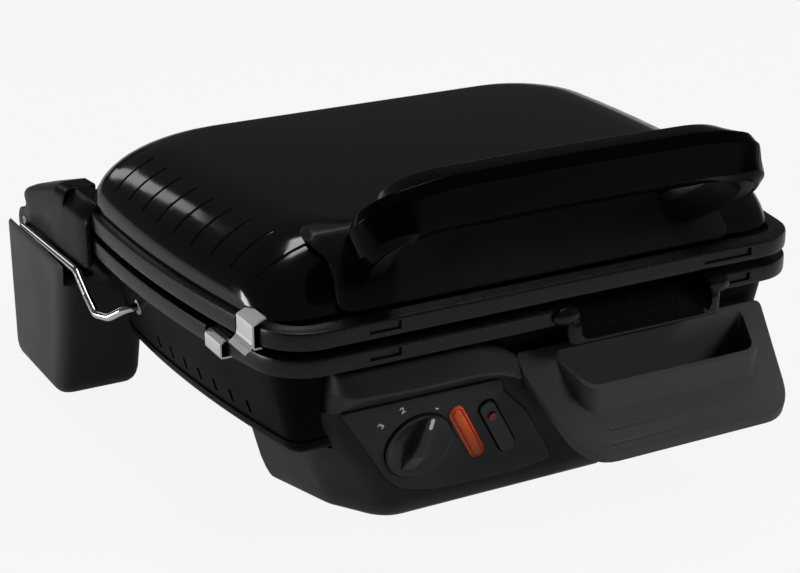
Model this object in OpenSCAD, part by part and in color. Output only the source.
// Contact grill with a floating hinged lid, closed on the worktop.
// Millimetres. +Z is up, the front faces -Y, the origin is under the middle of the grill.

/* [Cooking plates] */
// Width of both plates, over the widest point of their bowed sides
plate_w = 335; // [300:1:370]
// Depth of both plates, front edge to rear edge
plate_d = 241.5; // [215:0.5:275]
// Radius that the plates' sides are bowed to, seen from above
side_bow_r = 760; // [600:10:1200]
// Distance from the plates' front edge back to their widest point
bow_back = 165; // [140:1:175]
// Corner radius at the front of the plates
front_corner_r = 27; // [20:1:34]
// Corner radius at the back of the plates
rear_corner_r = 45; // [38:1:52]
// Height of a plate's rim
rim_h = 9.5; // [8:0.5:12]
// Width of a plate's rim, seen from above
rim_w = 10; // [8:0.5:12]
// Thickness of a plate's floor
plate_t = 3.5; // [3:0.25:5]
// Distance from ridge to ridge
ridge_pitch = 12.5; // [10:0.5:16]
// Width of a ridge at its root
ridge_w = 5; // [4:0.5:6]
// Height of a ridge above its plate's floor
ridge_h = 4.5; // [3:0.25:5]
// Gap between the lower and the upper rim with the lid closed
seam = 4.1; // [3.5:0.1:6]
// Gap between the lower and the upper ridges with the lid closed
ridge_gap = 2.2; // [1:0.1:3]

/* [Base] */
// Height of the lower plate's rim above the worktop
rim_z = 103; // [98:1:112]
// Height of the bowl's underside above the worktop
bowl_z = 54; // [50:1:60]
// Wall of the moulded bowl, console and legs
wall = 2.5; // [2:0.1:3]
// Distance from the rim's edge in to the bowl's top edge
bowl_top_in = 8; // [6:0.5:12]
// Distance from the rim's edge in to the bowl's bottom edge
bowl_floor_in = 19; // [16:0.5:24]
// Thickness of the rubber feet
foot_t = 2.4; // [2:0.1:3]
// How far the rubber feet stand out below the mouldings
foot_out = 1; // [0.6:0.1:1.5]

/* [Rear legs] */
// Depth of a rear leg at its top
leg_d = 100; // [85:1:115]
// Width of a rear leg
leg_w = 51; // [46:1:56]
// Height of a rear leg
leg_h = 88; // [84:1:90]
// How much less deep a leg is at its foot
leg_rake = 20; // [0:1:28]
// How far the legs' outer faces stand out past the plates
leg_out = 9.5; // [9.5:0.5:14]

/* [Console] */
// Lean of the control panel, its foot set back from its top
panel_lean = 12; // [6:1:16]
// Diameter of the thermostat knob
knob_d = 38.6; // [32:0.2:42]
// Height of the knob's disc
knob_t = 7; // [5:0.5:10]
// Distance between the two end centres of the lens and of the button
pill_l = 30.6; // [26:0.2:34]
// Width of the lens and of the button
pill_w = 8.6; // [7:0.2:10]
// Slant of the lens and of the button from upright
pill_slant = 30; // [15:1:32]
// Clearance round the button and the knob's spindle hole
button_gap = 0.4; // [0.3:0.1:0.8]
// Diameter of the thermostat's spindle
spindle_d = 6; // [5:0.5:7]

/* [Drip tray] */
// Width of the tray's apron at its top
tray_top_w = 148; // [140:1:152]
// Width of the tray's apron at its foot
tray_foot_w = 118; // [110:1:124]
// How far the tray stands out in front of the plates
tray_out = 32; // [28:1:38]
// Sideways place of the tray's middle
tray_x = 62; // [56:1:64]
// Height of the apron's top edge
tray_top_z = 86; // [82:1:90]
// Height of the apron's front edge
tray_foot_z = 36; // [34:1:42]
// Depth of the fat cup from its front rim down
cup_depth = 28; // [20:1:30]
// Length of the runners that carry the tray
runner_l = 66; // [50:1:72]
// Running clearance round the runners
runner_gap = 0.5; // [0.4:0.1:1]

/* [Lid] */
// Height of the lid cover above the upper plate's rim
lid_h = 35; // [30:1:42]
// Width of the elliptical shoulder on each side of the lid
shoulder_w = 53; // [45:1:60]
// Wall of the lid cover
lid_wall = 2.4; // [2:0.1:3]

/* [Handle] */
// Height of the handle's grip above the lid's top
grip_rise = 37; // [32:1:42]
// How far the grip stands out in front of the plates
grip_out = 19; // [14:1:24]
// Height of the grip's front face
grip_h = 29; // [25:1:33]
// Overall width of the handle
handle_w = 238; // [220:2:250]

/* [Hinge and bail] */
// Distance from the plates' rear edge back to the lid's hinge axis
hinge_back = 75; // [70:1:78]
// Height of the lid's hinge axis
hinge_z = 87; // [85:0.5:88]
// Distance from the hinge axis forward to the bail's own pivot
bail_arm = 143.5; // [138:0.5:148]
// Height of the bail's pivot
bail_z = 82; // [80:0.5:84]
// Diameter of the bail's wire
wire_d = 4.5; // [4:0.25:5]
// Radial clearance between the wire and its bores
wire_fit = 0.05; // [0.03:0.01:0.1]
// How far the lid's hinge rises when the bail lifts for thick food
hinge_lift = 30; // [20:1:36]
// Thickness of a hinge arm's side wall
arm_t = 3; // [2.5:0.25:3.5]
// Width of a hinge arm at the hinge
arm_w = 19.5; // [16:0.5:22]

/* [Heaters and clips] */
// Diameter of the tubular heating elements
heater_d = 6.4; // [6:0.2:8]
// Thickness of the clips' spring sheet
clip_t = 1.2; // [0.8:0.1:1.5]
// Width of a clip along the rim
clip_w = 18; // [14:1:24]

/* [Hidden] */
$fn = 48;
eps = 0.01;

// Places along Y, worked out so that the grill's depth is centred on the origin
leg_tuck = 10.5;
depth = tray_out + plate_d - leg_tuck + leg_d;
front_y = tray_out - depth / 2;
rear_y = front_y + plate_d;
bow_y = front_y + bow_back;
hinge_y = rear_y + hinge_back;
pivot_y = hinge_y - bail_arm;
leg_y = rear_y - leg_tuck;

// Places along X beside the plates: the hinge arm, the bail's wire, the leg's channel round both
side_gap = 0.25;
arm_out_x = plate_w / 2 + 2;
wire_x = arm_out_x + side_gap + wire_d / 2;
channel_out_x = wire_x + wire_d / 2 + side_gap;

// Heights of the plates
lower_top = rim_z + rim_h;
upper_z = lower_top + seam;
upper_top = upper_z + rim_h;
ridge_mid = (lower_top + upper_z) / 2;
lower_floor = ridge_mid - ridge_gap / 2 - ridge_h;
upper_floor = ridge_mid + ridge_gap / 2 + ridge_h;
lid_top = upper_top + lid_h;
grip_top = lid_top + grip_rise;

// The plates' outline
corner_steps = 7;
side_steps = 8;
function arc(c, r, a0, a1, n) =
    [for (i = [0 : n]) let (a = a0 + (a1 - a0) * i / n) [c[0] + r * cos(a), c[1] + r * sin(a)]];
function inner(list) = [for (i = [1 : len(list) - 2]) list[i]];
function mirrored(list) = [for (i = [len(list) - 1 : -1 : 0]) [-list[i][0], list[i][1]]];
function rim_x(y, g) =
    plate_w / 2 - g - (side_bow_r - g) + sqrt(pow(side_bow_r - g, 2) - pow(y - bow_y, 2));
function plan(g, yf, yr) =
    let (r = side_bow_r - g, cx = plate_w / 2 - g - r,
        rf = max(front_corner_r - g, 5), rr = max(rear_corner_r - g, 5),
        fy = yf + rf, ry = yr - rr,
        fx = cx + sqrt(pow(r - rf, 2) - pow(fy - bow_y, 2)),
        rx = cx + sqrt(pow(r - rr, 2) - pow(ry - bow_y, 2)),
        af = asin((fy - bow_y) / (r - rf)), ar = asin((ry - bow_y) / (r - rr)),
        right = concat(arc([fx, fy], rf, -90, af, corner_steps),
            inner(arc([cx, bow_y], r, af, ar, side_steps)),
            arc([rx, ry], rr, ar, 90, corner_steps)))
    concat(right, mirrored(right));

module slab(g, yf, yr, z0, z1)
    translate([0, 0, z0]) linear_extrude(z1 - z0) polygon(plan(g, yf, yr));

// A profile drawn in Y and Z, run along X
module run_x(points, x0, x1)
    translate([x0, 0, 0]) rotate([90, 0, 90]) linear_extrude(x1 - x0) polygon(points);

// A profile drawn in X and Z, run along Y
module run_y(points, y0, y1)
    translate([0, y1, 0]) rotate([90, 0, 0]) linear_extrude(y1 - y0) polygon(points);

module box(a, b) translate(a) cube(b - a);

module post(x, y, z0, z1, d) translate([x, y, z0]) cylinder(h = z1 - z0, d = d);

module both_sides() {
    children();
    mirror([1, 0, 0]) children();
}

// ---------------------------------------------------------------- base mouldings

bowl_front = front_y + 12;
bowl_rear = rear_y - 12;
bowl_steep = 9;
bowl_floor_front = bowl_front + bowl_steep;
bowl_floor_rear = bowl_rear - bowl_steep;
bush_d = 9;
post_d = 10;
post_x = 105;
post_y = [front_y + 55, rear_y - 60];
reflector_z = lower_floor - plate_t - heater_d - 1.6;

module bowl_solid(shrink) {
    hull() {
        slab(bowl_top_in + shrink, bowl_front + shrink, bowl_rear - shrink,
            rim_z - eps - 0.3, rim_z - 0.3);
        slab(bowl_floor_in + shrink, bowl_floor_front + shrink, bowl_floor_rear - shrink,
            bowl_z + shrink, bowl_z + shrink + eps);
    }
}

vent_n = 7;
vent_pitch = 16;
vent_first = front_y + 52;
module lower_bowl() color("#1b1b1d") {
    difference() {
        bowl_solid(0);
        bowl_solid(wall);
        translate([0, 0, rim_z - 1]) linear_extrude(2)
            polygon(plan(bowl_top_in + wall, bowl_front + wall, bowl_rear - wall));
        both_sides() translate([rim_x(pivot_y, bowl_floor_in) - 12, pivot_y, bail_z])
            rotate([0, 90, 0]) cylinder(h = 40, d = bush_d + 0.1);
        both_sides() for (i = [0 : vent_n - 1])
            box([rim_x(bow_y, bowl_floor_in) - 30, vent_first + i * vent_pitch, bowl_z + 12],
                [plate_w / 2, vent_first + i * vent_pitch + 2, bowl_z + 20]);
        both_sides() lower_clip_cut();
        link_lead_hole(bowl_rear - 20, rim_z - bowl_lead_down);
        controls_room(bowl_front - 5, fascia_top - 4);
    }
    for (x = [-post_x, post_x], y = post_y) difference() {
        post(x, y, bowl_z + wall, reflector_z, post_d);
        post(x, y, bowl_z, reflector_z + 1, 3);
    }
}

lead_x = -60;
bowl_lead_down = 20;
gland_d = 12;
gland_l = 8.5;
module link_lead_hole(y, z) translate([lead_x, y, z]) rotate([-90, 0, 0])
    cylinder(h = 40, d = gland_d + 0.1);

// The console: the box below the bowl's front that the grill stands on
console_left = -122;
console_foot_left = -107;
console_right = 116;
console_front = front_y + 9;
console_rear = front_y + 107;
bay_left = 50;
bay_front = front_y + 54;
console_floor = foot_out;
console_top = bowl_z;
fascia_top = 77.8;
fascia_d = 22;

// The control panel's own frame: X along it, Y up it, Z out of its face
knob_x = -71;
knob_z = 48.6;
knob_y = console_front + 5.3;
panel_t = 2;
panel_proud = 0.8;
panel_back = -panel_proud - wall * cos(panel_lean) - 0.05;
room_half = 26;
room_back = front_y + 50;
module on_panel() translate([knob_x, knob_y, knob_z]) rotate([90 + panel_lean, 0, 0]) children();
function face_y(z) = knob_y + panel_proud - (z - knob_z) * tan(panel_lean);

// Height, left end of the front face, and how far back the side wall starts
console_levels = [[14, -68, -98, 40], [34, -95, -117, 26], [console_top, -109, -121.5, 14]];
module console_level(z, pts) translate([0, 0, z]) linear_extrude(eps) polygon(pts);
module console_block(shrink) {
    back = console_rear - shrink;
    right = bay_left - shrink;
    foot = console_foot_left + shrink;
    hull() {
        console_level(console_floor + shrink, [[foot, back], [foot + 15, face_y(0) + 30],
            [foot + 32, face_y(0) + 15], [bay_left - 30, face_y(0) + 13], [right, face_y(0) + 23],
            [right, back]]);
        for (l = console_levels) let (z = l[0], face = face_y(z) + shrink)
            console_level(z - (z == console_top ? shrink : 0),
                [[max(l[2] - 9, console_left) + shrink, back], [l[2] + shrink, face + l[3]],
                [l[1] + shrink, face], [right, face], [right, back]]);
        console_level(fascia_top, [[console_left + shrink, face_y(fascia_top) + fascia_d],
            [console_left + shrink + 1, face_y(fascia_top) + shrink],
            [right, face_y(fascia_top) + shrink], [right, face_y(fascia_top) + fascia_d]]);
    }
}

module bay_block(shrink)
    box([bay_left - 3 * wall - shrink, bay_front + shrink, console_floor + shrink],
        [console_right - shrink, console_rear - shrink, console_top - shrink]);

lens_at = [knob_d / 2 + 8, 1.3];
button_at = [lens_at[0] + pill_w + 9.3, 0.5];
panel_points = [[-46, 29.5], [45, 29.5], [60, 12], [84, -31.5], [10, -31.5], [-7, -26], [-17, -16]];

module pill(at, l, w, z0, z1) translate([at[0], at[1], z0]) rotate([0, 0, pill_slant]) {
    translate([-w / 2, -l / 2, 0]) cube([w, l, z1 - z0]);
    for (s = [-1, 1]) translate([0, s * l / 2, 0]) cylinder(h = z1 - z0, d = w);
}

// Room behind the panel that the thermostat and the switch reach up into
module controls_room(y0, z1)
    box([knob_x - room_half, y0, console_top - wall - 1], [bay_left - 4, room_back, z1]);

// Room in the console's face for the back of the drip tray
recess_x = tray_x - tray_top_w / 2 - 2;
module tray_recess(grow) box([recess_x - grow, console_front - 30, tongue_z - 1.5 - grow],
    [console_right + 10, cup_back + 1 + grow, fascia_top + 10]);

brow_z = 91;
brow_out = 14;
brow_left = -118;
brow_right = -14;
module brow() color("#2b2d2e") difference() {
    run_x([[console_front + 0.3, fascia_top + 0.2], [console_front - brow_out + 4, brow_z - 2],
        [console_front - brow_out + 3.5, brow_z], [console_front - 6, rim_z - 3.2],
        [console_front + 3, rim_z - 3.2], [console_front + 3, fascia_top + 0.2]],
        brow_left, brow_right);
    run_x([[console_front + 1, fascia_top + 3], [console_front - brow_out + 8, brow_z - 1],
        [console_front - 6, rim_z - 6], [console_front + 1, rim_z - 6]],
        brow_left + wall, brow_right - wall);
}

cover_t = 2;
cover_gap = 0.2;
cover_x = [console_left + 22, console_right - 24];
cover_y = [bay_front + 8, console_rear - 8];
cover_screw_x = [-80, 15, 80];
cover_screw_y = console_rear - 20;
cover_z = console_floor + cover_gap;
boss_d = 8;
screw_d = 3.8;
screw_fit = 0.1;
console_feet = [[knob_x - 1, front_y + 50], [console_right - 13, console_rear - 26]];
console_foot_r = 6;

module front_console() color("#2b2d2e") difference() {
    union() {
        difference() {
            console_block(0);
            tray_recess(0);
            difference() {
                console_block(wall);
                tray_recess(wall);
            }
        }
        difference() {
            bay_block(0);
            bay_block(wall);
        }
        for (x = cover_screw_x) post(x, cover_screw_y, cover_z + cover_t, console_top - wall / 2, boss_d);
        for (p = console_feet)
            post(p[0], p[1], console_floor, console_floor + foot_t, 2 * console_foot_r + 4);
    }
    // open to the bay, for the cover, its screws and the feet
    box([bay_left - 3 * wall - 1, bay_front + wall, console_floor + wall],
        [bay_left + 1, console_rear - wall, console_top - wall]);
    box([cover_x[0], cover_y[0], -1], [cover_x[1], cover_y[1], cover_z + cover_t]);
    for (x = cover_screw_x) post(x, cover_screw_y, 0, screw_top + 1, screw_d + screw_fit);
    for (p = console_feet) post(p[0], p[1], 0, foot_t, 2 * console_foot_r);
    // open to the bowl above
    hull() {
        slab(bowl_top_in - 0.3, bowl_front - 0.3, bowl_rear, rim_z, rim_z + eps);
        slab(bowl_floor_in - 0.3, bowl_floor_front - 0.3, bowl_floor_rear, console_top,
            console_top + eps);
    }
    controls_room(face_y(console_top) + 2 * wall, console_top + 1);
    // the control panel's seat, and the openings behind it
    on_panel() translate([0, 0, -panel_t - 0.05]) linear_extrude(30) polygon(panel_points);
    on_panel() translate([0, 0, panel_back - 2]) cylinder(h = 10, d = spindle_d + 2 * button_gap);
    on_panel() pill(lens_at, pill_l, pill_w + 0.2, panel_back - 2, 1);
    on_panel() pill(button_at, pill_l, pill_w + 2 * button_gap, panel_back - 2, 1);
    // the slot that the tray's tongue runs in
    box([tray_x - tongue_w / 2 - runner_gap, console_front, tongue_z - runner_gap],
        [tray_x + tongue_w / 2 + runner_gap, bay_front + 10, tongue_z + tongue_t + runner_gap]);
}

module control_panel() color("#303234") on_panel() difference() {
    translate([0, 0, -panel_t]) linear_extrude(panel_t) polygon(panel_points);
    translate([0, 0, -panel_t - 1]) cylinder(h = panel_t + 2, d = spindle_d + 2 * button_gap);
    translate([0, 0, -knob_sunk - knob_seat]) cylinder(h = 2, d = knob_d + 2 * button_gap);
    pill(lens_at, pill_l, pill_w + 0.2, -panel_t - 1, 1);
    pill(button_at, pill_l, pill_w + 2 * button_gap, -panel_t - 1, 1);
}

module console_cover() color("#26282a") difference() {
    box([cover_x[0] + cover_gap, cover_y[0] + cover_gap, cover_z],
        [cover_x[1] - cover_gap, cover_y[1] - cover_gap, cover_z + cover_t]);
    for (x = cover_screw_x) post(x, cover_screw_y, -1, 10, screw_d + screw_fit);
}

screw_top = console_floor + 14;
module base_screws() color("#b9bcc0") for (x = cover_screw_x) difference() {
    post(x, cover_screw_y, cover_z, screw_top, screw_d);
    box([x - 2, cover_screw_y - 0.5, 0], [x + 2, cover_screw_y + 0.5, cover_z + 1]);
}

// The rear beam joins the legs and holds the mains side
beam_front = bowl_rear + 0.3;
beam_rear = hinge_y - 22;
beam_z = [38, 94];
leg_x = plate_w / 2 + leg_out;
beam_x = leg_x - leg_w;
inlet_x = 70;
inlet_up = 16;
lead_down = 12;
module rear_beam() color("#1f2022") difference() {
    box([-beam_x, beam_front, beam_z[0]], [beam_x, beam_rear, beam_z[1]]);
    box([-beam_x + wall, beam_front + wall, beam_z[0] - 1],
        [beam_x - wall, beam_rear - wall, beam_z[1] - wall]);
    translate([inlet_x, beam_rear - 10, beam_z[0] + inlet_up]) rotate([-90, 0, 0])
        cylinder(h = 20, d = inlet_d + 0.1);
    link_lead_hole(beam_rear - 10, beam_z[1] - lead_down);
    link_lead_hole(beam_front - 10, rim_z - bowl_lead_down);
}

leg_corner = 10;
channel_out = leg_x - channel_out_x;
channel_in = 30;
channel_z = 76;
rear_slot_z = 57;
function leg_pts(cut, top) =
    let (x1 = -leg_x + cut, x2 = -beam_x - 0.15 - cut, y1 = leg_y + cut + (top ? 0 : leg_rake),
        y2 = leg_y + leg_d - cut, r = leg_corner - cut / 2)
    concat(arc([x1 + r, y1 + r], r, 180, 270, 5), arc([x2 - r, y1 + r], r, 270, 360, 5),
        arc([x2 - 3, y2 - 3], 3, 0, 90, 2), arc([x1 + r, y2 - r], r, 90, 180, 5));

module leg_left() difference() {
    hull() {
        translate([0, 0, leg_h - eps]) linear_extrude(eps) polygon(leg_pts(0, true));
        translate([0, 0, foot_out]) linear_extrude(eps) polygon(leg_pts(0, false));
    }
    difference() {
        hull() {
            translate([0, 0, leg_h - wall]) linear_extrude(eps) polygon(leg_pts(wall, true));
            translate([0, 0, foot_out + wall]) linear_extrude(eps) polygon(leg_pts(wall, false));
        }
        // the floor and the inner side of the channel that the hinge arm lies in
        box([-leg_x, leg_y - 1, channel_z - wall], [-leg_x + channel_in + wall, leg_y + leg_d, leg_h]);
        box([-leg_x, hinge_y - 14 - wall, rear_slot_z - wall],
            [-leg_x + channel_in + wall, leg_y + leg_d, leg_h]);
    }
    box([-leg_x + channel_out, leg_y - 1, channel_z], [-leg_x + channel_in, hinge_y, leg_h + 1]);
    box([-leg_x + channel_out, hinge_y - 14, rear_slot_z],
        [-leg_x + channel_in, leg_y + leg_d + 1, leg_h + 1]);
    // the notch that the bail's cross wire lies in
    box([-leg_x + channel_in - 1, hinge_y - wire_d / 2 - 1, hinge_z - wire_d / 2 - 0.5],
        [-beam_x + 1, hinge_y + wire_d / 2 + 1, leg_h + 1]);
    for (p = foot_spots) post(p[0], p[1], 0, foot_t, 2 * foot_r);
}

rest_y = hinge_y - 50;
function wire_run_z(y) = hinge_z + (bail_knee_z - hinge_z) * (hinge_y - y) / (hinge_y - bail_knee_y);
module rear_leg_left() color("#2c2d2f") {
    leg_left();
    // the block that the bail's side wire comes down to
    box([-leg_x + channel_out, rest_y - 2, channel_z],
        [-leg_x + channel_out + 4.6, rest_y + 2, wire_run_z(rest_y) - wire_d / 2 - 0.4]);
}
module rear_leg_right() mirror([1, 0, 0]) rear_leg_left();

foot_r = 9;
foot_in = 18;
foot_spots = [for (y = [leg_y + leg_rake + foot_in, leg_y + leg_d - foot_in]) [-leg_x + leg_w / 2, y]];
module rubber_feet() color("#141414") {
    both_sides() for (p = foot_spots) post(p[0], p[1], 0, foot_t, 2 * foot_r - screw_fit);
    for (p = console_feet) post(p[0], p[1], 0, foot_t, 2 * console_foot_r - screw_fit);
}

// ---------------------------------------------------------------- lower plate and heater

spout_x = 50;
spout_w = 84;
spout_lip_y = front_y - 3.5;
spout_lip_z = rim_z - 9.5;
ridge_margin = 24;
ridge_n = floor((plate_w - 2 * ridge_margin - 30) / ridge_pitch);
function ridge_place(i) = (i - (ridge_n - 1) / 2) * ridge_pitch;

module ridge(x, z, up) run_y([[x - ridge_w / 2, z], [x + ridge_w / 2, z],
    [x + ridge_w / 4, z + up * ridge_h], [x - ridge_w / 4, z + up * ridge_h]],
    front_y + ridge_margin, rear_y - ridge_margin);

module rim_ring(z) difference() {
    slab(0, front_y, rear_y, z, z + rim_h);
    slab(rim_w, front_y + rim_w, rear_y - rim_w, z - 1, z + rim_h + 1);
}

module plate_floor(z0, z1) slab(rim_w - eps, front_y + rim_w - eps, rear_y - rim_w + eps, z0, z1);

module lower_plate() color("#3a3a3c") {
    difference() {
        union() {
            rim_ring(rim_z);
            plate_floor(lower_floor - plate_t, lower_floor);
            for (i = [0 : ridge_n - 1]) ridge(ridge_place(i), lower_floor - 0.2, 1);
            run_x([[front_y + 12, lower_floor - plate_t], [front_y - 0.5, rim_z - 6],
                [spout_lip_y, spout_lip_z], [spout_lip_y - 2, spout_lip_z + 1.5],
                [front_y - 2.5, lower_floor], [front_y + 12, lower_floor + 0.5]],
                spout_x - spout_w / 2 - 3, spout_x + spout_w / 2 + 3);
            for (s = [-1, 1]) run_x([[front_y + 10, rim_z], [front_y - 0.5, rim_z - 6],
                [spout_lip_y, spout_lip_z], [spout_lip_y - 2, spout_lip_z + 1.5],
                [front_y - 3.4, lower_top - 1], [front_y + 10, lower_top - 1]],
                spout_x + s * (spout_w / 2 + 1.5) - 1.5, spout_x + s * (spout_w / 2 + 1.5) + 1.5);
        }
        box([spout_x - spout_w / 2, front_y - 10, lower_floor + 0.5],
            [spout_x + spout_w / 2, front_y + rim_w + 8, lower_top + 1]);
        both_sides() lower_clip_notch();
    }
}

module quarter_bend(c, r, a0) translate(c) rotate([0, 0, a0])
    rotate_extrude(angle = 90) translate([r, 0]) circle(d = heater_d);

module rod(a, b, d) {
    v = b - a;
    l = norm(v);
    translate(a) rotate([0, acos(v[2] / l), atan2(v[1], v[0])]) cylinder(h = l, d = d);
}

heater_x = 118;
heater_y = [front_y + 38, rear_y - 46];
heater_bend = 22;
heater_leg_x = 22;
module heater_loop(z, drop) {
    r = heater_bend;
    y0 = heater_y[0];
    y1 = heater_y[1];
    for (s = [-1, 1]) {
        rod([s * heater_x, y0 + r, z], [s * heater_x, y1 - r, z], heater_d);
        rod([s * (heater_leg_x + r), y1, z], [s * (heater_x - r), y1, z], heater_d);
        rod([s * heater_leg_x, y1 - r, z], [s * heater_leg_x, y1 - 70, z], heater_d);
        translate([s * heater_leg_x, y1 - 70, z]) sphere(d = heater_d);
        rod([s * heater_leg_x, y1 - 70, z], [s * heater_leg_x, y1 - 70, z + drop], heater_d);
        rod([s * heater_leg_x, y1 - 70, z + drop], [s * heater_leg_x, y1 - 70, z + 1.5 * drop], 3);
    }
    rod([-(heater_x - r), y0, z], [heater_x - r, y0, z], heater_d);
    quarter_bend([heater_x - r, y1 - r, z], r, 0);
    quarter_bend([-(heater_x - r), y1 - r, z], r, 90);
    quarter_bend([-(heater_x - r), y0 + r, z], r, 180);
    quarter_bend([heater_x - r, y0 + r, z], r, 270);
    quarter_bend([heater_leg_x + r, y1 - r, z], r, 90);
    quarter_bend([-(heater_leg_x + r), y1 - r, z], r, 0);
}

lower_heater_z = lower_floor - plate_t - 0.3 - heater_d / 2;
upper_heater_z = upper_floor + plate_t + 0.3 + heater_d / 2;
heater_drop = 14;
module lower_heater() color("#5a5b57") heater_loop(lower_heater_z, -heater_drop);
module upper_heater() color("#5a5b57") heater_loop(upper_heater_z, heater_drop);

reflector_t = 0.8;
reflector_in = 26;
reflector_lip = 5;
module reflector(z, up) difference() {
    slab(reflector_in, front_y + reflector_in, rear_y - reflector_in,
        up > 0 ? z : z - reflector_lip, up > 0 ? z + reflector_lip : z);
    slab(reflector_in + reflector_t, front_y + reflector_in + reflector_t,
        rear_y - reflector_in - reflector_t,
        up > 0 ? z + reflector_t : z - reflector_lip - 1,
        up > 0 ? z + reflector_lip + 1 : z - reflector_t);
    for (s = [-1, 1]) post(s * heater_leg_x, heater_y[1] - 70, z - 10, z + 10, heater_d + 2);
}
module lower_reflector() color("#c4c7c9") reflector(reflector_z, 1);

// ---------------------------------------------------------------- controls

stat_d = 26;
stat_l = 16;
stat_gap = 10;
stat_front = panel_back - stat_gap;
bracket_half = [13.4, 13];
bracket_t = 1.2;
module thermostat_body() color("#d8d4c8") on_panel() difference() {
    translate([0, 0, stat_front - stat_l]) cylinder(h = stat_l, d = stat_d);
    translate([0, 0, stat_front - stat_l - 1]) cylinder(h = stat_l + 2, d = spindle_d + 2 * wire_fit);
}

module thermostat_bracket() color("#aeb2b5") on_panel() difference() {
    union() {
        translate([-bracket_half[0], -bracket_half[1], stat_front])
            cube([2 * bracket_half[0], 2 * bracket_half[1], bracket_t]);
        for (s = [-1, 1]) translate([s * (bracket_half[0] - bracket_t / 2) - bracket_t / 2,
            -bracket_half[1], stat_front]) cube([bracket_t, 2 * bracket_half[1], stat_gap]);
    }
    translate([0, 0, stat_front - 1]) cylinder(h = 4, d = spindle_d + 2);
}

knob_seat = 0.4;
knob_sunk = 0.8;
knob_bore_top = 5;
grip_bar_w = 10;
grip_bar_h = 7;
module thermostat_spindle() color("#b8bbbe") on_panel()
    translate([0, 0, stat_front - stat_l + 1])
        cylinder(h = knob_bore_top - (stat_front - stat_l + 1), d = spindle_d);

pointer_turn = -17;
module control_knob() color("#1f2021") on_panel() difference() {
    union() {
        translate([0, 0, -knob_sunk]) cylinder(h = knob_t - 3 + knob_sunk, d = knob_d);
        rotate([0, 0, pointer_turn]) translate([-grip_bar_w / 2, -knob_d / 2 + 2.2, 0])
            cube([grip_bar_w, knob_d - 4.4, knob_t + grip_bar_h]);
    }
    translate([0, 0, -3]) cylinder(h = 3 + knob_bore_top, d = spindle_d);
}

lens_out = 1.2;
lens_flange = 1.5;
lens_back = panel_back - 1;
module indicator_lens() color("#c01d12") on_panel() {
    pill(lens_at, pill_l, pill_w, lens_back, lens_out);
    pill(lens_at, pill_l, pill_w + 2 * lens_flange, lens_back, panel_back);
}

neon_d = 6;
neon_l = 20;
module neon_lamp() color("#e9d9c8") on_panel()
    translate([lens_at[0], lens_at[1], lens_back - 0.3 - neon_d / 2]) rotate([0, 0, pill_slant])
        rotate([90, 0, 0]) translate([0, 0, -neon_l / 2]) cylinder(h = neon_l, d = neon_d);

// The rocking button, the lamp's window in it and the switch that it works
button_led = 9;
led_d = 4.4;
led_z = 0.2;
button_out = 1.6;
button_deep = 4;
stub_deep = 9.5;
switch_size = [14, 22, 16];
switch_leg = 1.3;
module on_button() on_panel() translate([button_at[0], button_at[1], 0]) rotate([0, 0, pill_slant])
    children();
module rocker_button() color("#2a2b2d") difference() {
    union() {
        on_panel() pill(button_at, pill_l, pill_w, -button_deep, button_out);
        on_button() translate([-2, -2.5, -stub_deep]) cube([4, 5, stub_deep]);
    }
    on_button() translate([0, button_led, led_z]) cylinder(h = 5, d = led_d);
}
module button_lens() color("#d01810") on_button() translate([0, button_led, led_z])
    cylinder(h = 2, d = led_d);

module switch_body() color("#e4e4e2") on_button() {
    translate([-switch_size[0] / 2, -switch_size[1] / 2, -stub_deep - 0.5 - switch_size[2]])
        cube(switch_size);
    for (s = [-1, 1]) translate([s * (switch_size[0] - switch_leg) / 2 - switch_leg / 2,
        -switch_size[1] / 2, -stub_deep - 0.5 - eps])
        cube([switch_leg, switch_size[1], stub_deep + 0.5 + panel_back + eps]);
}

terminal_n = 3;
terminal_pitch = 12;
terminal_size = [11, 18, 14];
terminal_bore = 3.4;
module terminal_block() color("#efece4") for (i = [0 : terminal_n - 1])
    translate([inlet_x + (i - 2) * terminal_pitch, beam_front + 14, beam_z[1] - wall - terminal_size[2]])
        difference() {
            cube(terminal_size);
            translate([terminal_size[0] / 2, -1, 5]) rotate([-90, 0, 0])
                cylinder(h = terminal_size[1] + 2, d = terminal_bore);
        }

inlet_d = 14;
module gland(at, d, l) translate(at) rotate([-90, 0, 0]) difference() {
    union() {
        cylinder(h = l, d = d);
        translate([0, 0, l - 2.5]) cylinder(h = 2.5, d = d + 5);
    }
    translate([0, 0, -1]) cylinder(h = l + 2, d = d - 6);
}
module cord_inlet_gland() color("#151515")
    gland([inlet_x, beam_rear - 6, beam_z[0] + inlet_up], inlet_d, gland_l);
module link_gland_base() color("#151515")
    gland([lead_x, beam_rear - 6, beam_z[1] - lead_down], gland_d, gland_l);

module bail_bushes() color("#d9dadb") both_sides() {
    x1 = rim_x(pivot_y, bowl_floor_in) + 2;
    translate([x1 - 8, pivot_y, bail_z]) rotate([0, 90, 0]) difference() {
        union() {
            cylinder(h = 12, d = bush_d);
            cylinder(h = 2, d = bush_d + 4);
        }
        translate([0, 0, -1]) cylinder(h = 20, d = wire_d + 2 * wire_fit);
    }
}

// ---------------------------------------------------------------- plate clips

lower_clip_y = front_y + 57;
upper_clip_y_left = front_y + 28;
upper_clip_y_right = front_y + 92;
hook_in = 3.5;
hook_gap = 1.2;
clip_out = 0.8;
clip_root = 6;
clip_low = 6.5;
function clip_x(y) = rim_x(y, 0);
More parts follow.
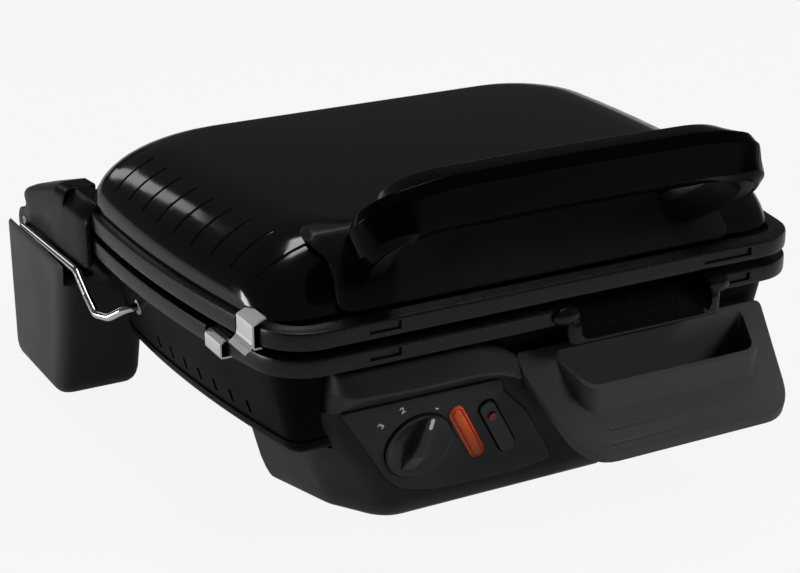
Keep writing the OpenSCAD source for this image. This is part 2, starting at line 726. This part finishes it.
// Spring sheet drawn in X and Z for the left side: root, riser, hook
module clip_sheet(xr, z_root, z_hook, up, tab) {
    t = clip_t;
    run_y([[xr - clip_root, z_root], [xr + clip_out, z_root], [xr + clip_out, z_hook],
        [xr - hook_in, z_hook], [xr - hook_in, z_hook + up * t], [xr + clip_out + t, z_hook + up * t],
        [xr + clip_out + t, z_root - up * t], [xr - clip_root, z_root - up * t]],
        -clip_w / 2, clip_w / 2);
    if (tab) run_y([[xr + clip_out + t - 0.2, z_hook + up * t], [xr + clip_out + 5.5, z_hook + up * 8.5],
        [xr + clip_out + 6.5, z_hook + up * 8], [xr + clip_out + t - 0.2, z_hook - up * 1.2]],
        -clip_w / 2, clip_w / 2);
}
module at_clip(y) translate([0, y, 0]) children();

module lower_clip_right() color("#e6e7e8") at_clip(lower_clip_y)
    clip_sheet(clip_x(lower_clip_y), rim_z - clip_low, lower_top + hook_gap, 1, false);
module lower_clip_left() mirror([1, 0, 0]) lower_clip_right();
module upper_clip(y) color("#e6e7e8") at_clip(y)
    clip_sheet(clip_x(y), upper_top + 3, upper_z - hook_gap, -1, true);
module upper_clip_right() upper_clip(upper_clip_y_right);
module upper_clip_left() mirror([1, 0, 0]) upper_clip(upper_clip_y_left);

// Room for a clip's root in the bowl's wall and in the rim's corner
module lower_clip_cut() at_clip(lower_clip_y)
    box([clip_x(lower_clip_y) - clip_root - 20, -clip_w / 2 - 0.5, rim_z - clip_low - clip_t - 6],
        [clip_x(lower_clip_y) + 10, clip_w / 2 + 0.5, rim_z + 1]);
module lower_clip_notch() at_clip(lower_clip_y) box([clip_x(lower_clip_y) - 0.1,
    -clip_w / 2 - 0.5, rim_z - 1], [clip_x(lower_clip_y) + 10, clip_w / 2 + 0.5, lower_top + 1]);

// ---------------------------------------------------------------- drip tray

tray_t = 3;
apron_top_y = bowl_front - 3;
apron_foot_y = front_y - tray_out;
cup_front = apron_foot_y + 16;
cup_back = apron_top_y + 1;
cup_front_z = 72.5;
cup_back_z = tray_top_z - 0.5;
cup_floor_z = cup_front_z - cup_depth;
cup_front_w = 101;
cup_back_w = 118;
tongue_w = 84;
tongue_t = 3;
tongue_z = 44.5;

module cup_solid(shrink, z0, z1) translate([tray_x, 0, z0]) linear_extrude(z1 - z0) polygon([
    [-cup_front_w / 2 + shrink, cup_front + shrink], [cup_front_w / 2 - shrink, cup_front + shrink],
    [cup_back_w / 2 - shrink, cup_back - shrink], [-cup_back_w / 2 + shrink, cup_back - shrink]]);

module drip_tray() color("#3c3c3f") difference() {
    union() {
        intersection() {
            run_x([[apron_foot_y, tray_foot_z], [apron_foot_y, tray_foot_z + tray_t],
                [apron_top_y - 1, tray_top_z], [apron_top_y + 1, tray_top_z],
                [apron_top_y + 1, tray_top_z - 6], [apron_foot_y + 4, tray_foot_z]],
                tray_x - tray_top_w / 2, tray_x + tray_top_w / 2);
            run_y([[tray_x - tray_foot_w / 2, tray_foot_z - 1], [tray_x + tray_foot_w / 2, tray_foot_z - 1],
                [tray_x + tray_top_w / 2, tray_top_z + 1], [tray_x - tray_top_w / 2, tray_top_z + 1]],
                apron_foot_y - 1, apron_top_y + 2);
        }
        cup_solid(0, cup_floor_z, cup_back_z);
        box([tray_x - tongue_w / 2, cup_back - 2, tongue_z],
            [tray_x + tongue_w / 2, bay_front + runner_l - 40, tongue_z + tongue_t]);
    }
    cup_solid(wall, cup_floor_z + wall, cup_back_z + 20);
    run_x([[cup_front - 10, cup_front_z - 10 * cup_fall()], [cup_back + 10, cup_back_z + 10 * cup_fall()],
        [cup_back + 10, tray_top_z + 40], [cup_front - 10, tray_top_z + 40]],
        tray_x - cup_front_w / 2 - 4, tray_x + cup_front_w / 2 + 4);
}
function cup_fall() = (cup_back_z - cup_front_z) / (cup_back - cup_front);

// ---------------------------------------------------------------- bail

bail_knee_y = pivot_y + 46;
bail_knee_z = hinge_z + 3.5;
bail_in_x = rim_x(pivot_y, bowl_floor_in) - 3;
function bail_side() = [[bail_in_x, pivot_y, bail_z], [plate_w / 2 - 6, pivot_y, bail_z],
    [plate_w / 2 + 1, pivot_y + 8, bail_z - 6.5], [wire_x, pivot_y + 18, bail_z - 7.5],
    [wire_x, pivot_y + 31, bail_z - 1], [wire_x, bail_knee_y, bail_knee_z],
    [wire_x, hinge_y, hinge_z]];
bend_swell = 0.06;
module wire_bail() color("#d7dadd") {
    both_sides() {
        p = bail_side();
        for (i = [0 : len(p) - 2]) rod(p[i], p[i + 1], wire_d);
        for (i = [1 : len(p) - 1]) translate(p[i]) sphere(d = wire_d + bend_swell);
    }
    rod([-wire_x, hinge_y, hinge_z], [wire_x, hinge_y, hinge_z], wire_d);
}

// ---------------------------------------------------------------- lid

lid_in = 4.5;
lid_front = front_y + 16;
lid_rear = rear_y - 4;
front_lean = 23;
rear_round = 20;
lid_seat = 0.3;
lid_steps = 6;
lid_lead_up = 9;
module lid_solid(shrink) hull() for (i = [0 : lid_steps]) {
    a = 90 * i / lid_steps;
    rise = (lid_h - lid_seat - shrink) * sin(a);
    slab(lid_in + shrink + (shoulder_w - shrink) * (1 - cos(a)),
        lid_front + shrink + front_lean * sin(a) + 3 * (1 - cos(a)),
        lid_rear - shrink - rear_round * (1 - cos(a)),
        upper_top + lid_seat + rise - eps, upper_top + lid_seat + rise);
}

module lid_cover() color("#0c0c0d") difference() {
    lid_solid(0);
    lid_solid(lid_wall);
    slab(lid_in + lid_wall, lid_front + lid_wall + 0.5, lid_rear - lid_wall, upper_top - 1,
        upper_top + lid_seat + 1);
    upper_clip_cut(upper_clip_y_right);
    mirror([1, 0, 0]) upper_clip_cut(upper_clip_y_left);
    translate([lead_x, lid_rear - 20, upper_top + lid_lead_up]) rotate([-90, 0, 0])
        cylinder(h = 40, d = gland_d + 0.1);
}
module upper_clip_cut(y) at_clip(y) box([clip_x(y) - clip_root - 20,
    -clip_w / 2 - 0.5, upper_top - 1], [clip_x(y) + 10, clip_w / 2 + 0.5, upper_top + 10]);
module upper_clip_notch(y) at_clip(y) box([clip_x(y) - 0.1,
    -clip_w / 2 - 0.5, upper_z - 1], [clip_x(y) + 10, clip_w / 2 + 0.5, upper_top + 1]);

module upper_plate() color("#3a3a3c") difference() {
    union() {
        rim_ring(upper_z);
        plate_floor(upper_floor, upper_floor + plate_t);
        for (i = [0 : ridge_n - 1]) ridge(ridge_place(i), upper_floor + 0.2, -1);
    }
    upper_clip_notch(upper_clip_y_right);
    mirror([1, 0, 0]) upper_clip_notch(upper_clip_y_left);
    both_sides() translate([lid_screw_x, rear_y + 1, upper_z + rim_h / 2]) rotate([90, 0, 0])
        cylinder(h = rim_screw_deep + 1.2, d = screw_d + screw_fit);
}

upper_reflector_z = upper_heater_z + heater_d / 2 + 1;
module upper_reflector() color("#c4c7c9") reflector(upper_reflector_z, -1);

fuse_d = 6;
fuse_l = 14;
fuse_at = [67, -20, upper_reflector_z + fuse_d / 2 + 0.3];
fuse_lead_l = 20;
module thermal_fuse() color("#c9b48a") {
    translate(fuse_at - [fuse_l / 2, 0, 0]) rotate([0, 90, 0]) cylinder(h = fuse_l, d = fuse_d);
    for (s = [-1, 1]) rod(fuse_at + [s * fuse_l / 2, 0, 0],
        fuse_at + [s * (fuse_l / 2 + fuse_lead_l), 0, 0], 1.4);
}
module link_gland_lid() color("#151515")
    gland([lead_x, lid_rear - 6.4, upper_top + lid_lead_up], gland_d, gland_l + 0.5);

// ---------------------------------------------------------------- handle

face_gap = 0.3;
face_t = 4;
// The lid's front wall leans back; the handle's base lies on it
wall_foot = [lid_front, upper_top + lid_seat];
wall_head = [lid_front + front_lean + 1, lid_top - 3];
panel_half = 116;
grip_front = front_y - grip_out;
grip_z = grip_top - grip_h;
grip_back = grip_front + 22;
grip_half = handle_w / 2 - 14;
grip_root = [handle_w / 2 - 22, handle_w / 2];
root_z = [lid_top - 26, lid_top - 6];
// Front face of the handle's base, at a height
function base_y(z) = wall_foot[0] - face_gap - face_t - 0.1
    + (wall_head[0] - wall_foot[0]) * (z - wall_foot[1]) / (wall_head[1] + 3 - wall_foot[1]);
module handle_base() color("#3b3c3e") difference() {
    run_x([[wall_foot[0] - face_gap - face_t, wall_foot[1]], [wall_foot[0] - face_gap, wall_foot[1]],
        [wall_head[0] - face_gap - 1, wall_head[1]], [wall_head[0] - face_gap - 1, wall_head[1] + 3],
        [wall_head[0] - face_gap - face_t, wall_head[1] + 3]], -panel_half - 6, panel_half + 6);
    lid_solid(-0.2);
}

module grip_section(x0, x1, shrink) run_x([[grip_front + 2.5 + shrink, grip_z + shrink],
    [grip_front + shrink, grip_top - 8], [grip_front + 5 + shrink, grip_top - shrink],
    [grip_back - shrink, grip_top - shrink], [grip_back - shrink, grip_z + 14],
    [grip_front + 12, grip_z + shrink]], x0, x1);

grip_wall = 2.5;
module handle_grip() color("#09090a") difference() {
    union() {
        grip_section(-grip_half, grip_half, 0);
        both_sides() hull() {
            grip_section(grip_half - 2, handle_w / 2 - 6, 0);
            run_x([[base_y(root_z[0]) - 2, root_z[0]], [base_y(root_z[0]), root_z[0]],
                [base_y(root_z[1]), root_z[1]], [base_y(root_z[1]) - 2, root_z[1]]],
                grip_root[0], grip_root[1]);
        }
    }
    // hollow behind and below, where the liner goes
    run_x([[grip_front + grip_wall + 3, grip_z - 1], [grip_front + grip_wall + 1, grip_top - 8],
        [grip_front + grip_wall + 4, grip_top - grip_wall], [grip_back + 1, grip_top - grip_wall],
        [grip_back + 1, grip_z - 1]], -grip_half + 1, grip_half - 1);
}

module handle_liner() color("#434446") difference() {
    run_x([[grip_front + grip_wall + 3.4, grip_z + 2], [grip_front + grip_wall + 1.4, grip_top - 8],
        [grip_front + grip_wall + 4.2, grip_top - grip_wall - 0.3],
        [grip_back - 1, grip_top - grip_wall - 0.3], [grip_back - 1, grip_z + 14],
        [grip_front + 13, grip_z + 1.5]], -grip_half + 1.3, grip_half - 1.3);
    run_x([[grip_front + grip_wall + 6, grip_z + 12], [grip_front + grip_wall + 5, grip_top - 9],
        [grip_back - 4, grip_top - 9], [grip_back - 4, grip_z + 15], [grip_back + 2, grip_z + 10]],
        -grip_half + 5, grip_half - 5);
}

// ---------------------------------------------------------------- hinge arms

arm_front = rear_y - 35;
arm_boss_r = 10;
arm_top = upper_top + 1.5;
flange_t = 4;
lid_screw_x = 108;
rim_screw_deep = 7;

module hinge_arm_right() color("#1a1a1c") difference() {
    union() {
        // outer wall beside both rims
        run_x([[arm_front + 4, rim_z - 10], [arm_front, upper_top - 4], [arm_front + 5, upper_top + 4],
            [rear_y + 2, arm_top], [rear_y + 2, hinge_z - 1], [rear_y - 12, hinge_z + 2]],
            arm_out_x - arm_t, arm_out_x);
        // cap over the lid's rear corner
        run_x([[arm_front + 3, upper_top + 0.4], [arm_front + 5.5, upper_top + 3.9],
            [rear_y + 1.5, arm_top - 0.1], [rear_y + 1.5, upper_top + 0.4]],
            arm_out_x - 14, arm_out_x - 0.5);
        // the arm behind the plates
        run_x([[rear_y + 0.9, hinge_z - 1.1], [rear_y + 0.9, arm_top + 0.1],
            [hinge_y - 4, hinge_z + 24], [hinge_y + 1, hinge_z + 22], [hinge_y - 2, hinge_z + 14],
            [hinge_y + 3, hinge_z + 8], [hinge_y + 3, hinge_z - 6], [hinge_y - 2, hinge_z - 8.5],
            [hinge_y - 12, hinge_z - 6]], arm_out_x - arm_w, arm_out_x);
        translate([arm_out_x - arm_w, hinge_y, hinge_z]) rotate([0, 90, 0])
            cylinder(h = arm_w, r = arm_boss_r);
        // flange that is screwed to the back of the upper plate
        box([lid_screw_x - 8, rear_y + 0.3, upper_z + 0.3],
            [arm_out_x - arm_w + 1, rear_y + 0.3 + flange_t, upper_top - 0.3]);
    }
    translate([lid_screw_x, rear_y - 1, upper_z + rim_h / 2]) rotate([-90, 0, 0])
        cylinder(h = 10, d = screw_d + screw_fit);
    translate([arm_out_x - arm_w - 1, hinge_y, hinge_z]) rotate([0, 90, 0])
        cylinder(h = arm_w + 2, d = hinge_bush_d + 2 * wire_fit);
    lid_solid(-0.3);
}
module hinge_arm_left() mirror([1, 0, 0]) hinge_arm_right();

hinge_bush_d = 9;
hinge_flange = 1.2;
// The wire swings the hinge up on an arc. The lid goes up along the arc's chord, so the bores
// of the bushes are slots, as long as the arc stands off its chord.
bail_r = norm([bail_arm, hinge_z - bail_z]);
bail_rest = atan2(hinge_z - bail_z, bail_arm);
bail_half = asin(hinge_lift / 2 / bail_r);
bush_play = bail_r * (1 - cos(bail_half)) + wire_fit;
module hinge_bushes() color("#d9dadb") both_sides()
    translate([arm_out_x - arm_w - hinge_flange - 0.2, hinge_y, hinge_z]) difference() {
        rotate([0, 90, 0]) {
            cylinder(h = arm_w + hinge_flange - 0.2, d = hinge_bush_d);
            cylinder(h = hinge_flange, d = hinge_bush_d + 4);
        }
        rotate([bail_rest + bail_half, 0, 0]) for (play = [0, bush_play])
            translate([-1, play, 0]) rotate([0, 90, 0])
                cylinder(h = arm_w + 4, d = wire_d + 2 * wire_fit);
        rotate([bail_rest + bail_half, 0, 0])
            translate([-1, 0, -wire_d / 2 - wire_fit]) cube([arm_w + 4, bush_play, wire_d + 2 * wire_fit]);
    }

module lid_screws() color("#b9bcc0") both_sides() translate([lid_screw_x, rear_y, upper_z + rim_h / 2])
    rotate([-90, 0, 0]) {
        translate([0, 0, -rim_screw_deep]) cylinder(h = rim_screw_deep + 0.4 + flange_t, d = screw_d);
        translate([0, 0, 0.3 + flange_t]) cylinder(h = 1.8, d = 7);
    }

lower_bowl();
front_console();
control_panel();
brow();
console_cover();
rear_beam();
rear_leg_left();
rear_leg_right();
rubber_feet();
base_screws();
lower_plate();
lower_reflector();
lower_heater();
thermostat_body();
thermostat_bracket();
thermostat_spindle();
control_knob();
indicator_lens();
neon_lamp();
rocker_button();
button_lens();
switch_body();
terminal_block();
cord_inlet_gland();
link_gland_base();
bail_bushes();
lower_clip_left();
lower_clip_right();
drip_tray();
wire_bail();
lid_cover();
upper_plate();
upper_reflector();
upper_heater();
thermal_fuse();
link_gland_lid();
handle_base();
handle_grip();
handle_liner();
hinge_arm_left();
hinge_arm_right();
hinge_bushes();
lid_screws();
upper_clip_left();
upper_clip_right();
